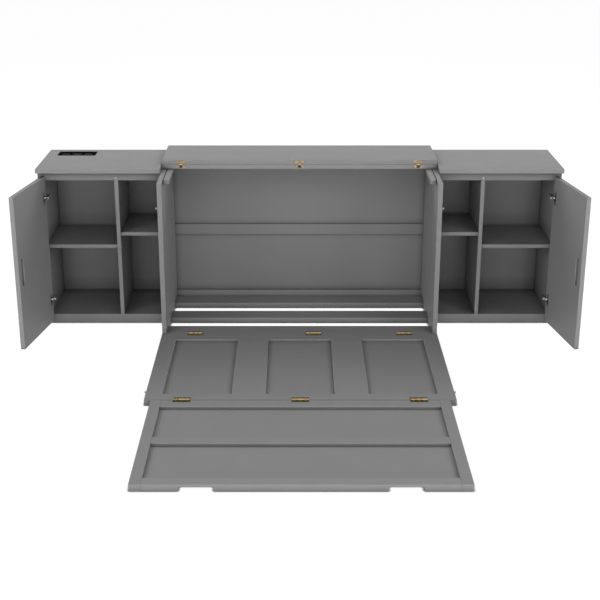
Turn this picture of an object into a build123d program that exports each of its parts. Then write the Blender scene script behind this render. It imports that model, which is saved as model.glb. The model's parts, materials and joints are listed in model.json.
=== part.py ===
from build123d import *
import os

os.makedirs("parts", exist_ok=True)

# Low cabinet bed, unfolded, between two side cabinets. Millimetres, +Z up, +Y to the back.
# Built with Y = 0 on the front hinge line of the cabinet, and moved to the middle of its footprint at the end.

# Centre cabinet
bed_w = 1626.0
cab_d = 716.5
side_h = 949.0
panel_t = 26.5
back_t = 12.5
back_recess = 12.0
mid_rail_h = 66.0
mid_rail_t = 16.0
mid_rail_z = 437.0
low_rail_h = 63.0
low_rail_d = 29.0
cleat_w = 30.5
cleat_gap = 6.0
cleat_notch = 40.0
cleat_h = 23.5
cleat_front = 79.0
edge_r = 2.0
top_r = 4.0

# Lid: a fixed top and a flap folded back on it
lid_t = 27.2
lid_seam_r = 2.5
lid_side = 3.0
lid_lip = 16.0
lid_gap = 2.8

# Deck inside the cabinet
deck_lift = 2.5
slat_w = 120.0
threshold_w = 121.0
front_slat_gap = 131.0
rear_slat_gap = 35.5
bearer_w = 24.0
bearer_l = 22.0
bearer_h = 20.0

# Fold-out panels: frames with recessed infill boards
slab_t = 33.0
fold_gap = 2.0
bed_stile_w = 90.0
bed_hinge_rail_w = 90.5
bed_end_rail_w = 78.0
muntin_w = 181.0
mid_infill_w = 362.0
foot_side_gap = 8.0
foot_clear = 30.0
foot_stile_w = 55.0
foot_hinge_rail_w = 75.0
foot_mid_rail_w = 68.0
foot_mid_rail_y = 1352.0
foot_front_rail_w = 68.0
infill_t = 12.0
infill_drop = 16.0
frame_r = 5.0
groove_d = 10.0
groove_fit = 1.0
nose_r = 6.0
notch_w = 158.0
notch_h = 20.0
notch_d = 44.0
notch_x = 475.0
notch_r = 8.0

# Butt hinges: leaves lie on the boards and the pin stands proud of them
pin_r = 1.6
pin_fit = 0.05
knuckle_wall = 1.55
knuckle_clear = 0.3
knuckle_gap = 0.4
leaf_t = 2.0
leaf_r = 3.0
bed_leaf_w = 90.0
bed_leaf_reach = 25.0
lid_leaf_w = 55.0
lid_knuckle_w = 28.0
lid_leaf_reach = 20.0
bed_hinge_x = (-617.0, 83.0, 617.0)
foot_hinge_x = (-616.0, 0.0, 616.0)
lid_hinge_x = (-703.0, 0.0, 703.0)

# Latch pins on the bed panel's side edges and on the cabinet's side panels
latch_r = 4.0
latch_head_r = 7.0
latch_head_t = 4.0
latch_out = 12.0
latch_in = 18.0
bed_latch_y = 778.0
side_latch_y = 20.0
side_latch_drop = 18.0

# Side cabinets
cab_w = 727.0
cab_front = 255.0
top_t = 27.0
top_side = 7.0
top_clear = 2.0
board_t = 22.0
cab_back_t = 4.0
plinth_h = 57.0
plinth_t = 18.0
apron_h = 48.0
apron_t = 18.0
narrow_w = 234.0
shelf_t = 21.5
shelf_set = 11.0
shelf_back = 45.0
wide_shelf_z = 500.5
narrow_shelf_z = 578.0
peg_r = 2.5
peg_fit = 0.1
peg_in = 9.0
peg_tab = 11.0
peg_set = 50.0
catch_r = 6.0
catch_drop = 10.0
catch_fit = 0.5

# Doors
door_t = 26.0
door_gap = 3.5
door_low = 21.0
door_head = 24.0
door_reveal = 2.0
door_open = 100.0
slot_w = 34.0
slot_h = 172.0
slot_edge = 60.0

# Concealed cup hinges: a cup in the door, a hooked link, and an arm on the cabinet side
hinge_head = 128.0
hinge_foot = 140.0
cup_r = 17.5
cup_wall = 1.2
cup_deep = 14.2
cup_edge = 5.0
cup_fit = 0.1
wing_w = 16.0
wing_h = 72.0
wing_t = 1.2
link_a_in = 11.64
link_a_back = 10.39
link_b_in = 12.91
link_b_deep = 5.22
link_turn = 49.37
link_h = 10.0
link_t = 4.0
link_eye_r = 4.0
link_fit = 0.4
hook_in = 23.5
hook_deep = 9.75
hook_lift = 1.5
arm_pin_r = 2.0
arm_l = 58.0
arm_cheek = 2.4
arm_cap = 6.0
plate_l = 46.0
plate_h = 42.0
plate_t = 2.5

# Charging unit in the left top
unit_w = 226.0
unit_d = 92.0
unit_side = 70.0
unit_back = 61.5
unit_rim = 6.0
unit_rim_t = 2.0
unit_fit = 0.3
unit_deep = 46.0
unit_r = 8.0
tray_d = 9.0
tray_rim = 8.0
outlet_w = 44.0
outlet_h = 36.0
outlet_t = 3.0
usb_w = 52.0
inlet_r = 8.0
inlet_l = 8.0

# Values that follow from the ones above
half_w = bed_w / 2
inner_x = half_w - panel_t
knuckle_r = pin_r + pin_fit + knuckle_wall
proud = knuckle_r + knuckle_clear
axis_z = slab_t + proud
bed_len = side_h - axis_z - knuckle_r - lid_gap
foot_len = bed_len + proud - foot_clear
foot_w = bed_w - 2 * panel_t - 2 * foot_side_gap
lid_front = (cab_d + proud - slab_t - lid_lip) / 2
lid_axis_y = lid_front - proud
lid_axis_z = side_h + lid_t
back_face = cab_d - back_recess - back_t
low_rail_front = back_face - low_rail_d
outer_x = half_w + cab_w
cab_h = side_h
cab_back_face = cab_d - back_recess - cab_back_t
divider_x = half_w + board_t + narrow_w
front_edge = bed_len + foot_len
shift_y = (front_edge - cab_d) / 2


def board(x0, x1, y0, y1, z0, z1):
    # A flat board between two corners
    return Pos((x0 + x1) / 2, (y0 + y1) / 2, (z0 + z1) / 2) * Box(x1 - x0, y1 - y0, z1 - z0)


def rod(axis_start, direction, radius, length):
    # A round bar from a start point along a direction
    return Plane(axis_start, z_dir=direction) * Cylinder(
        radius, length, align=(Align.CENTER, Align.CENTER, Align.MIN)
    )


def twin(shape):
    # A piece and its mirror image on the other side
    return [shape, mirror(shape, about=Plane.YZ)]


def save(name, shapes):
    # One file for a piece, or for a group of like pieces
    moved = [Pos(0, shift_y, 0) * shape for shape in shapes]
    export_step(Compound(children=moved) if len(moved) > 1 else moved[0], f"parts/{name}.step")


def hinge_leaf(knuckle_w, leaf_w, reach, middle):
    # One leaf with its knuckles, pin axis along X through the origin, plate below it towards -Y
    seg = (knuckle_w - 2 * knuckle_gap) / 3
    outline = Polygon(
        (-knuckle_w / 2, -proud),
        (knuckle_w / 2, -proud),
        (leaf_w / 2, -reach),
        (-leaf_w / 2, -reach),
        align=None,
    )
    outline = fillet(outline.vertices().sort_by(Axis.Y)[:2], leaf_r)
    leaf = Pos(0, 0, -proud) * extrude(outline, leaf_t, dir=(0, 0, 1))
    if middle:
        starts = [-seg / 2]
    else:
        starts = [-knuckle_w / 2, knuckle_w / 2 - seg]
    for x in starts:
        leaf += rod((x, 0, 0), (1, 0, 0), knuckle_r, seg)
        leaf += board(x, x + seg, -proud, 0, -proud, leaf_t - proud)
    return leaf - rod((-knuckle_w, 0, 0), (1, 0, 0), pin_r + pin_fit, 2 * knuckle_w)


def hinge_set(places, y, z, knuckle_w, leaf_w, reach, on_edge):
    # The fixed leaves, moving leaves and pins of a row of hinges
    fixed = hinge_leaf(knuckle_w, leaf_w, reach, False)
    moving = hinge_leaf(knuckle_w, leaf_w, reach, True)
    pin = rod((-knuckle_w / 2, 0, 0), (1, 0, 0), pin_r, knuckle_w)
    if on_edge:
        fixed = Rot(90, 0, 0) * fixed
        moving = Rot(90, 0, 0) * (Rot(0, 0, 180) * moving)
    else:
        fixed = Rot(0, 0, 180) * fixed
    spots = [Pos(x, y, z) for x in places]
    return [[spot * piece for spot in spots] for piece in (fixed, moving, pin)]


def framed(pieces, bays):
    # Frame members rounded over along the bays and grooved, and the infill boards that fill the bays
    low = slab_t - infill_drop - infill_t
    high = slab_t - infill_drop
    infills = []
    whole = Part() + pieces
    rims = []
    for x0, x1, y0, y1 in bays:
        for edge in whole.edges().filter_by_position(Axis.Z, slab_t, slab_t):
            spot = edge.center()
            if x0 <= spot.X <= x1 and y0 <= spot.Y <= y1:
                rims.append(edge)
    whole = fillet(rims, frame_r)
    pieces = [whole & piece for piece in pieces]
    for x0, x1, y0, y1 in bays:
        groove = board(x0 - groove_d, x1 + groove_d, y0 - groove_d, y1 + groove_d, low, high)
        pieces = [piece - groove for piece in pieces]
        tongue = groove_d - groove_fit
        infills.append(board(x0 - tongue, x1 + tongue, y0 - tongue, y1 + tongue, low, high))
    return pieces, infills


def latch_pin(y, z, x_face):
    # A short headed pin set into a side face
    pin = rod((x_face - latch_in, y, z), (1, 0, 0), latch_r, latch_in + latch_out - latch_head_t)
    return pin + rod((x_face + latch_out - latch_head_t, y, z), (1, 0, 0), latch_head_r, latch_head_t)


# Side panels, with the hole for the latch pin
side_latch_z = axis_z + bed_latch_y - side_latch_drop
side_panel = board(inner_x, half_w, 0, cab_d, 0, side_h)
side_panel = fillet(side_panel.edges().filter_by(Axis.Z).sort_by(Axis.Y)[:2], edge_r)
side_panel -= rod((half_w, side_latch_y, side_latch_z), (-1, 0, 0), latch_r, latch_in)
right_panel, left_panel = twin(side_panel)
save("bed_side_left", [left_panel])
save("bed_side_right", [right_panel])
save("side_latch_pins", twin(latch_pin(side_latch_y, side_latch_z, half_w)))

# Back panel with its rails
save("bed_back_panel", [board(-inner_x, inner_x, back_face, back_face + back_t, 0, side_h)])
mid_rail = board(-inner_x, inner_x, back_face - mid_rail_t, back_face, mid_rail_z, mid_rail_z + mid_rail_h)
save("back_mid_rail", [mid_rail])
low_rail = board(-inner_x, inner_x, low_rail_front, back_face, 0, low_rail_h)
save("back_low_rail", [fillet(low_rail.edges().filter_by(Axis.X).group_by(Axis.Z)[-1][0], edge_r)])

# Cleats that carry the lid, flush with the tops of the side panels and spaced off them by a strip
cleat_x = inner_x - cleat_gap
cleat = board(cleat_x - cleat_w, cleat_x, cleat_front, back_face, side_h - cleat_h, side_h)
cleat += board(cleat_x, inner_x, cleat_front + cleat_notch, back_face, side_h - cleat_h, side_h - cleat_gap)
save("lid_cleats", twin(cleat))

# Threshold board and slats, each held to the side panels by blocks behind its ends
save("threshold_board", [board(-inner_x, inner_x, fold_gap / 2, threshold_w, deck_lift, slab_t)])
front_slat_y = threshold_w + front_slat_gap
rear_slat_y = low_rail_front - rear_slat_gap - slat_w
slats = []
for y in (front_slat_y, rear_slat_y):
    slat = board(-inner_x, inner_x, y, y + slat_w, deck_lift, slab_t)
    slats.append(fillet(slat.edges().filter_by(Axis.X).sort_by(Axis.Y)[:2], edge_r))
save("deck_slats", slats)
bearers = []
for y in (threshold_w, front_slat_y + slat_w, rear_slat_y + slat_w):
    bearers += twin(board(inner_x - bearer_w, inner_x, y, y + bearer_l, 0, bearer_h))
save("slat_bearers", bearers)

# Fixed top and flap, stacked
lid_x = half_w + lid_side
fixed_top = board(-lid_x, lid_x, lid_front, cab_d, side_h, lid_axis_z)
fixed_top = fillet(fixed_top.edges().filter_by(Axis.X).sort_by(Axis.Y)[:2], lid_seam_r)
save("fixed_top", [fixed_top])
flap = board(-lid_x, lid_x, lid_front, cab_d, lid_axis_z, lid_axis_z + lid_t)
flap = fillet(flap.edges().group_by(Axis.Z)[-1], top_r)
flap = fillet(flap.edges().filter_by(Axis.X).group_by(Axis.Z)[0].sort_by(Axis.Y)[0], lid_seam_r)
save("lid_flap", [flap])
lid_sets = hinge_set(
    lid_hinge_x, lid_axis_y, lid_axis_z, lid_knuckle_w, lid_leaf_w, lid_leaf_reach, True
)
save("lid_hinge_fixed_leaves", lid_sets[0])
save("lid_hinge_moving_leaves", lid_sets[1])
save("lid_hinge_pins", lid_sets[2])

# Bed panel: a full-width frame with three recessed boards
bed_back = -fold_gap / 2
bed_front = -(bed_len - fold_gap / 2)
bed_in_x = half_w - bed_stile_w
bay_back = bed_back - bed_hinge_rail_w
bay_front = bed_front + bed_end_rail_w
mid_x = mid_infill_w / 2
bed_stile = board(bed_in_x, half_w, bed_front, bed_back, 0, slab_t)
bed_stile -= rod((half_w, -bed_latch_y, slab_t / 2), (-1, 0, 0), latch_r, latch_in)
bed_muntin = board(mid_x, mid_x + muntin_w, bay_front, bay_back, 0, slab_t)
bed_hinge_rail = board(-bed_in_x, bed_in_x, bay_back, bed_back, 0, slab_t)
bed_end_rail = board(-bed_in_x, bed_in_x, bed_front, bay_front, 0, slab_t)
bed_members = twin(bed_stile) + twin(bed_muntin) + [bed_hinge_rail, bed_end_rail]
bed_bays = [
    (-bed_in_x, -mid_x - muntin_w, bay_front, bay_back),
    (-mid_x, mid_x, bay_front, bay_back),
    (mid_x + muntin_w, bed_in_x, bay_front, bay_back),
]
bed_members, bed_infills = framed(bed_members, bed_bays)
save("bed_stiles", bed_members[0:2])
save("bed_muntins", bed_members[2:4])
save("bed_rails", bed_members[4:6])
save("bed_infills", bed_infills)
save("bed_latch_pins", twin(latch_pin(-bed_latch_y, slab_t / 2, half_w)))
bed_sets = hinge_set(bed_hinge_x, 0, axis_z, bed_leaf_w, bed_leaf_w, bed_leaf_reach, False)
save("bed_hinge_fixed_leaves", bed_sets[0])
save("bed_hinge_moving_leaves", bed_sets[1])
save("bed_hinge_pins", bed_sets[2])

# Foot panel: a narrower frame with two long recessed boards and a rounded front
foot_x = foot_w / 2
foot_in_x = foot_x - foot_stile_w
foot_back = -(bed_len + fold_gap / 2)
foot_front = -front_edge
foot_bay_back = foot_back - foot_hinge_rail_w
foot_bay_front = foot_front + foot_front_rail_w
foot_mid_y = -foot_mid_rail_y
foot_mid_back = foot_mid_y + foot_mid_rail_w / 2
foot_mid_front = foot_mid_y - foot_mid_rail_w / 2
foot_stile = board(foot_in_x, foot_x, foot_front, foot_back, 0, slab_t)
foot_stile = fillet(foot_stile.edges().filter_by(Axis.X).group_by(Axis.Z)[-1].sort_by(Axis.Y)[0], nose_r)
foot_hinge_rail = board(-foot_in_x, foot_in_x, foot_bay_back, foot_back, 0, slab_t)
foot_mid_rail = board(-foot_in_x, foot_in_x, foot_mid_front, foot_mid_back, 0, slab_t)
front_rail = board(-foot_in_x, foot_in_x, foot_front, foot_bay_front, 0, slab_t)
front_rail = fillet(front_rail.edges().filter_by(Axis.X).group_by(Axis.Z)[-1].sort_by(Axis.Y)[0], nose_r)
notch = board(-notch_w / 2, notch_w / 2, foot_front - notch_d, foot_front + notch_d, -notch_h, notch_h)
notch = fillet(notch.edges().filter_by(Axis.Y).group_by(Axis.Z)[-1], notch_r)
for x in (-notch_x, notch_x):
    front_rail -= Pos(x, 0, 0) * notch
foot_members = twin(foot_stile) + [foot_hinge_rail, foot_mid_rail, front_rail]
foot_bays = [
    (-foot_in_x, foot_in_x, foot_mid_back, foot_bay_back),
    (-foot_in_x, foot_in_x, foot_bay_front, foot_mid_front),
]
foot_members, foot_infills = framed(foot_members, foot_bays)
save("foot_stiles", foot_members[0:2])
save("foot_rails", foot_members[2:4])
save("foot_front_rail", foot_members[4:5])
save("foot_infills", foot_infills)
foot_sets = hinge_set(foot_hinge_x, -bed_len, axis_z, bed_leaf_w, bed_leaf_w, bed_leaf_reach, False)
save("foot_hinge_fixed_leaves", foot_sets[0])
save("foot_hinge_moving_leaves", foot_sets[1])
save("foot_hinge_pins", foot_sets[2])

# Side cabinet, right hand, and its mirror image
in_x = half_w + board_t
wide_x = divider_x + board_t
wall_x = outer_x - board_t
shelf_front = cab_front + shelf_set
shelf_rear = cab_back_face - shelf_back
top_front = cab_front - door_gap - door_t
apron_z = cab_h - apron_h


def pegs(x0, x1, z):
    # Four shelf pegs, each a round stub in the wall and a flat tab under the shelf
    found = []
    for y in (shelf_front + peg_set, shelf_rear - peg_set):
        for x, way in ((x0, 1), (x1, -1)):
            tab = board(min(x, x + way * peg_tab), max(x, x + way * peg_tab), y - peg_r, y + peg_r,
                        z - 2 * peg_r, z)
            found.append(tab + rod((x, y, z - peg_r), (-way, 0, 0), peg_r, peg_in))
    return found


wide_pegs = pegs(wide_x, wall_x, wide_shelf_z - shelf_t)
narrow_pegs = pegs(in_x, divider_x, narrow_shelf_z - shelf_t)
right_pegs = wide_pegs + narrow_pegs


def peg_holes(wall, x, way, z):
    # Round holes in a wall for the stubs of two pegs
    for y in (shelf_front + peg_set, shelf_rear - peg_set):
        wall -= rod((x, y, z - peg_r), (-way, 0, 0), peg_r + peg_fit, peg_in + peg_fit)
    return wall


outer_side = board(wall_x, outer_x, cab_front, cab_d, 0, cab_h)
outer_side = peg_holes(outer_side, wall_x, -1, wide_shelf_z - shelf_t)
inner_side = board(half_w, in_x, cab_front, cab_d, 0, cab_h)
inner_side = peg_holes(inner_side, in_x, 1, narrow_shelf_z - shelf_t)
divider = board(divider_x, wide_x, cab_front, cab_back_face, plinth_h, cab_h)
divider -= board(divider_x, wide_x, cab_front, cab_front + apron_t, apron_z, cab_h)
divider = peg_holes(divider, wide_x, 1, wide_shelf_z - shelf_t)
divider = peg_holes(divider, divider_x, -1, narrow_shelf_z - shelf_t)
apron = board(in_x, wall_x, cab_front, cab_front + apron_t, apron_z, cab_h)
plinth = board(in_x, wall_x, cab_front, cab_front + plinth_t, 0, plinth_h)
bottom = board(in_x, wall_x, cab_front + plinth_t, cab_back_face, plinth_h - board_t, plinth_h)
cab_back = board(in_x, wall_x, cab_back_face, cab_back_face + cab_back_t, 0, cab_h)
wide_shelf = board(wide_x, wall_x, shelf_front, shelf_rear, wide_shelf_z - shelf_t, wide_shelf_z)
narrow_shelf = board(in_x, divider_x, shelf_front, shelf_rear, narrow_shelf_z - shelf_t, narrow_shelf_z)
top = board(lid_x + top_clear, outer_x + top_side, top_front, cab_d, cab_h, cab_h + top_t)
top = fillet(top.edges().group_by(Axis.Z)[-1], top_r)
top = fillet(top.edges().filter_by(Axis.X).group_by(Axis.Z)[0].sort_by(Axis.Y)[0], edge_r)
right_top, left_top = twin(top)
door_top = cab_h - door_head
catch_z = door_top - catch_drop
catch = rod((divider_x + board_t / 2, cab_front, catch_z), (0, -1, 0), catch_r, door_gap - catch_fit)

for name, shape in (
    ("outer_side", outer_side),
    ("inner_side", inner_side),
    ("divider", divider),
    ("bottom", bottom),
    ("back", cab_back),
    ("wide_shelf", wide_shelf),
    ("narrow_shelf", narrow_shelf),
):
    right_piece, left_piece = twin(shape)
    save("right_" + name, [right_piece])
    save("left_" + name, [left_piece])
right_apron, left_apron = twin(apron)
right_plinth, left_plinth = twin(plinth)
save("right_front_rails", [right_apron, right_plinth])
save("left_front_rails", [left_apron, left_plinth])
save("right_top", [right_top])
save("shelf_pegs", [piece for peg in right_pegs for piece in twin(peg)])
save("door_catches", twin(catch))

# Charging unit: a rimmed tray let into the left top, with outlet and charging-port inserts
unit_x1 = -(outer_x + top_side - unit_side)
unit_x = unit_x1 + unit_w / 2
unit_y = cab_d - unit_back - unit_d / 2
unit_z = cab_h + top_t
hole_w = unit_w - 2 * unit_rim
hole_d = unit_d - 2 * unit_rim
tray_w = hole_w - 2 * tray_rim
tray_l = hole_d - 2 * tray_rim
left_top -= board(unit_x - hole_w / 2, unit_x + hole_w / 2, unit_y - hole_d / 2, unit_y + hole_d / 2,
                  cab_h, unit_z)
save("left_top", [left_top])
rim = Pos(unit_x, unit_y, unit_z) * extrude(RectangleRounded(unit_w, unit_d, unit_r), unit_rim_t)
body_w = hole_w - 2 * unit_fit
body_d = hole_d - 2 * unit_fit
housing = rim + Pos(unit_x, unit_y, unit_z - unit_deep) * extrude(Rectangle(body_w, body_d), unit_deep)
tray_z = unit_z + unit_rim_t - tray_d
housing -= Pos(unit_x, unit_y, tray_z) * extrude(RectangleRounded(tray_w, tray_l, unit_r), tray_d)
housing += rod((unit_x, unit_y, unit_z - unit_deep), (0, 0, -1), inlet_r, inlet_l)
save("charging_housing", [housing])
outlet_x = (tray_w - outlet_w) / 2 - tray_rim
outlet = extrude(RectangleRounded(outlet_w, outlet_h, unit_r), outlet_t)
outlets = [Pos(unit_x + x, unit_y, tray_z) * outlet for x in (-outlet_x, outlet_x)]
usb = Pos(unit_x, unit_y, tray_z) * extrude(RectangleRounded(usb_w, outlet_h, unit_rim), outlet_t)
save("charging_inserts", outlets + [usb])

# Cup hinge layout in plan, measured inwards from the cabinet's outer face and forwards from its front
link_a = Vector(board_t + link_a_in, -link_a_back)
link_b = Vector(link_b_in, door_gap + link_b_deep)


def plan(point):
    # A point of that plan in the right cabinet's own frame
    return Vector(outer_x - point.X, cab_front - point.Y)


pivot_a = plan(link_a)
pivot_b = plan(link_b)
turned_b = pivot_a + (pivot_b - pivot_a).rotate(Axis.Z, -link_turn)


def swung(shape):
    # The door and its cups, from shut to the open rest position
    return Pos(turned_b.X, turned_b.Y, 0) * (Rot(0, 0, door_open) * (Pos(-pivot_b.X, -pivot_b.Y, 0) * shape))


def folded(shape):
    # The links, from shut to the open rest position
    return Pos(pivot_a.X, pivot_a.Y, 0) * (Rot(0, 0, -link_turn) * (Pos(-pivot_a.X, -pivot_a.Y, 0) * shape))


door_free_x = divider_x + door_reveal
inner_face = cab_front - door_gap
hinge_zs = (door_low + hinge_foot, door_top - hinge_head)
cup_x = outer_x - cup_edge - cup_r

# Doors, shut and then swung open, with a hand slot and the pockets for the cups
door = board(door_free_x, outer_x, inner_face - door_t, inner_face, door_low, door_top)
door = fillet(door.edges().group_by(Axis.Y)[0], edge_r)
slot = Rot(90, 0, 0) * extrude(SlotOverall(slot_h, slot_w, rotation=90), door_t, both=True)
door -= Pos(door_free_x + slot_edge, inner_face - door_t / 2, (door_low + door_top) / 2) * slot
for z in hinge_zs:
    door -= rod((cup_x, inner_face, z), (0, -1, 0), cup_r + cup_fit, cup_deep)
right_door, left_door = twin(swung(door))
save("right_door", [right_door])
save("left_door", [left_door])

# Cups: a flanged well with two screw wings and the pin that the link turns on
cups = []
for z in hinge_zs:
    wings = board(cup_x - cup_r, cup_x - cup_r + wing_w, inner_face, inner_face + wing_t,
                  z - wing_h / 2, z + wing_h / 2)
    cup = rod((cup_x, inner_face, z), (0, -1, 0), cup_r, cup_deep) + wings
    well = cup_r - cup_wall
    cup -= rod((cup_x, inner_face + wing_t, z), (0, -1, 0), well, cup_deep + wing_t - cup_wall)
    span = rod((pivot_b.X, pivot_b.Y, z - well), (0, 0, 1), arm_pin_r, 2 * well)
    cup += span & rod((cup_x, inner_face, z), (0, -1, 0), cup_r, cup_deep)
    cups.append(swung(cup))
save("right_hinge_cups", cups)
save("left_hinge_cups", [mirror(cup, about=Plane.YZ) for cup in cups])

# Links: a hook from the pin in the cup round the door's edge to the pin in the arm
hook_mid = plan(Vector(hook_in, door_gap + hook_deep))
hook_end = plan(Vector(link_a.X - link_t / 2, door_gap - hook_lift))
hook = ThreePointArc(pivot_b, hook_mid, hook_end) + Line(hook_end, pivot_a)
profile = trace(hook, link_t)
for spot in (pivot_a, pivot_b):
    profile += Pos(spot.X, spot.Y, 0) * Circle(link_eye_r)
for spot in (pivot_a, pivot_b):
    profile -= Pos(spot.X, spot.Y, 0) * Circle(arm_pin_r + pin_fit)
links = [folded(Pos(0, 0, z - link_h / 2) * extrude(profile, link_h)) for z in hinge_zs]
save("right_hinge_links", links)
save("left_hinge_links", [mirror(link, about=Plane.YZ) for link in links])

# Arms: a plate on the cabinet side and a forked channel that holds the link's pin
arms = []
cheek_z = link_h / 2 + link_fit
arm_in = wall_x - plate_t
arm_front = pivot_a.Y - link_eye_r
for z in hinge_zs:
    plate_back = cab_front + arm_l
    arm = board(arm_in, wall_x, plate_back - plate_l, plate_back, z - plate_h / 2, z + plate_h / 2)
    half_h = cheek_z + arm_cheek
    channel = board(pivot_a.X - link_eye_r, arm_in, arm_front, plate_back, z - half_h, z + half_h)
    channel -= board(pivot_a.X - link_eye_r, arm_in, arm_front, plate_back - arm_cap, z - cheek_z, z + cheek_z)
    arm += channel
    arm += rod((pivot_a.X, pivot_a.Y, z - half_h), (0, 0, 1), arm_pin_r, 2 * half_h)
    arms.append(arm)
save("door_hinge_arms", [piece for arm in arms for piece in twin(arm)])
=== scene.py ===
import bmesh
import bpy
import json
import math
from mathutils import Matrix, Vector


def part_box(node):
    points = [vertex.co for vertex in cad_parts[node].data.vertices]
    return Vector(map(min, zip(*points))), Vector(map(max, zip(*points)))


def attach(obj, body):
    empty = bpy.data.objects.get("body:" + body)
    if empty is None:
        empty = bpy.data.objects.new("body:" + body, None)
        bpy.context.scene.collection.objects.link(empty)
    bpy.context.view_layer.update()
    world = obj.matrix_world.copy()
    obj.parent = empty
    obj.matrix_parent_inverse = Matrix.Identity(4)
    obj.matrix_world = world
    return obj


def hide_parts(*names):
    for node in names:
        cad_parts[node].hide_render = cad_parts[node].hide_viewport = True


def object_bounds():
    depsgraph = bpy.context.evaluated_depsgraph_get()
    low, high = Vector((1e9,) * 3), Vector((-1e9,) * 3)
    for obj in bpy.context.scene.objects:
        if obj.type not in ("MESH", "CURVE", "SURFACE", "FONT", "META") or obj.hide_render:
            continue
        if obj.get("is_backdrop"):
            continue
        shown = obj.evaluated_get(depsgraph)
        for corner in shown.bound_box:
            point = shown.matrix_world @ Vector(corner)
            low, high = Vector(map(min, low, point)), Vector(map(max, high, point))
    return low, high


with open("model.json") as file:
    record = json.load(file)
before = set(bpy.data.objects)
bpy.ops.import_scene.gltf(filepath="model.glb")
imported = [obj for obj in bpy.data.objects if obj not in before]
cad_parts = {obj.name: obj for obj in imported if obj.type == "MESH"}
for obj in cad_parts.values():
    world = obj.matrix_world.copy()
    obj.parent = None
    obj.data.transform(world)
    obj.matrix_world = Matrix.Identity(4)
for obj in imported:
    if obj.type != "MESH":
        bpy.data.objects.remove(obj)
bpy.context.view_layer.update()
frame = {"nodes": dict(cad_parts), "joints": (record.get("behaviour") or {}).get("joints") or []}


# ---- Side panels of the centre cabinet
# Two uprights of 26 mm board, sprayed with a neutral grey satin paint.
# Their arrises are eased with abrasive paper before the paint goes on.
MM = 0.001
PAINT_GREY = (0.296, 0.296, 0.296, 1.0)
PAINT_PALE = (0.308, 0.308, 0.308, 1.0)
# Arrises turn towards this paler grey, partly for wear and partly as a painted highlight
PAINT_WORN_AND_HIGHLIT = (0.43, 0.43, 0.43, 1.0)
# Painted shade: corners and creases darken towards this grey
PAINT_CORNER_SHADE = (0.13, 0.13, 0.13, 1.0)
CREASE_REACH = 40.0 * MM
CREASE_DEEPEST = 0.1
CORNER_RAYS = 6
MOTTLE_GRAIN, WEAR_GRAIN, HAZE_GRAIN, PEEL_GRAIN = 5.0, 25.0, 60.0, 420.0
NOISE_LOW, NOISE_HIGH = 0.3, 0.7
ARRIS_FROM, ARRIS_FULL = 0.98, 0.84
WEAR_LEAST, WEAR_FULL = 0.6, 0.6
WEAR_OPEN = 0.85
PAINT_ROUGH = (0.50, 0.60)
PAINT_SHINE = 0.25
PEEL_STRENGTH, PEEL_DEEP = 0.10, 0.3 * MM
PANEL_ARRIS = 2.0 * MM
WELD_WITHIN = 0.01 * MM
FLAT_WITHIN = math.radians(1.0)
SHARP_ABOVE = math.radians(50.0)


def finish_tree(name):
    # A new material with its shader and the Object coordinates
    made = bpy.data.materials.new(name)
    made.use_nodes = True
    tree = made.node_tree
    shader = tree.nodes["Principled BSDF"]
    coords = tree.nodes.new("ShaderNodeTexCoord")
    return made, tree, shader, coords.outputs["Object"]


def speckle(tree, coords, scale, detail, rough=0.5):
    # Noise of a given grain, in grains a metre
    noise = tree.nodes.new("ShaderNodeTexNoise")
    noise.inputs["Scale"].default_value = scale
    noise.inputs["Detail"].default_value = detail
    noise.inputs["Roughness"].default_value = rough
    tree.links.new(coords, noise.inputs["Vector"])
    return noise.outputs["Fac"]


def spread(tree, value, low, high, out_low, out_high):
    # A value moved from one range to another
    mapped = tree.nodes.new("ShaderNodeMapRange")
    sockets = ("From Min", "From Max", "To Min", "To Max")
    for socket, number in zip(sockets, (low, high, out_low, out_high)):
        mapped.inputs[socket].default_value = number
    tree.links.new(value, mapped.inputs["Value"])
    return mapped.outputs["Result"]


def blended(tree, share, first, second):
    # A colour between two, each a colour or the output of a node
    mix = tree.nodes.new("ShaderNodeMix")
    mix.data_type = "RGBA"
    tree.links.new(share, mix.inputs["Factor"])
    for socket, colour in zip((mix.inputs[6], mix.inputs[7]), (first, second)):
        if isinstance(colour, tuple):
            socket.default_value = colour
        else:
            tree.links.new(colour, socket)
    return mix.outputs[2]


def relief(tree, shader, height, strength, distance):
    # Bump on the shader's normal
    bump = tree.nodes.new("ShaderNodeBump")
    bump.inputs["Strength"].default_value = strength
    bump.inputs["Distance"].default_value = distance
    tree.links.new(height, bump.inputs["Height"])
    tree.links.new(bump.outputs["Normal"], shader.inputs["Normal"])


def openness(tree, reach):
    # From about 0 deep in a corner to 1 on an open face
    corner = tree.nodes.new("ShaderNodeAmbientOcclusion")
    corner.samples = CORNER_RAYS
    corner.inputs["Distance"].default_value = reach
    return corner.outputs["AO"]


def own_normal(tree):
    # The way a face looks, along the piece's own axes
    face = tree.nodes.new("ShaderNodeNewGeometry")
    own = tree.nodes.new("ShaderNodeVectorTransform")
    own.vector_type = "NORMAL"
    own.convert_from, own.convert_to = "WORLD", "OBJECT"
    tree.links.new(face.outputs["True Normal"], own.inputs["Vector"])
    return own.outputs["Vector"]


def along(tree, vector):
    # The X, Y and Z of a vector
    parts = tree.nodes.new("ShaderNodeSeparateXYZ")
    tree.links.new(vector, parts.inputs["Vector"])
    return parts.outputs


def reckon(tree, operation, first, *others):
    # One sum on values, of which all but the first may be plain numbers
    node = tree.nodes.new("ShaderNodeMath")
    node.operation = operation
    tree.links.new(first, node.inputs[0])
    for socket, value in zip(node.inputs[1:], others):
        if isinstance(value, float):
            socket.default_value = value
        else:
            tree.links.new(value, socket)
    return node.outputs["Value"]


def unsigned(tree, vector):
    # A vector with the signs taken off
    size = tree.nodes.new("ShaderNodeVectorMath")
    size.operation = "ABSOLUTE"
    tree.links.new(vector, size.inputs[0])
    return size.outputs["Vector"]


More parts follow.
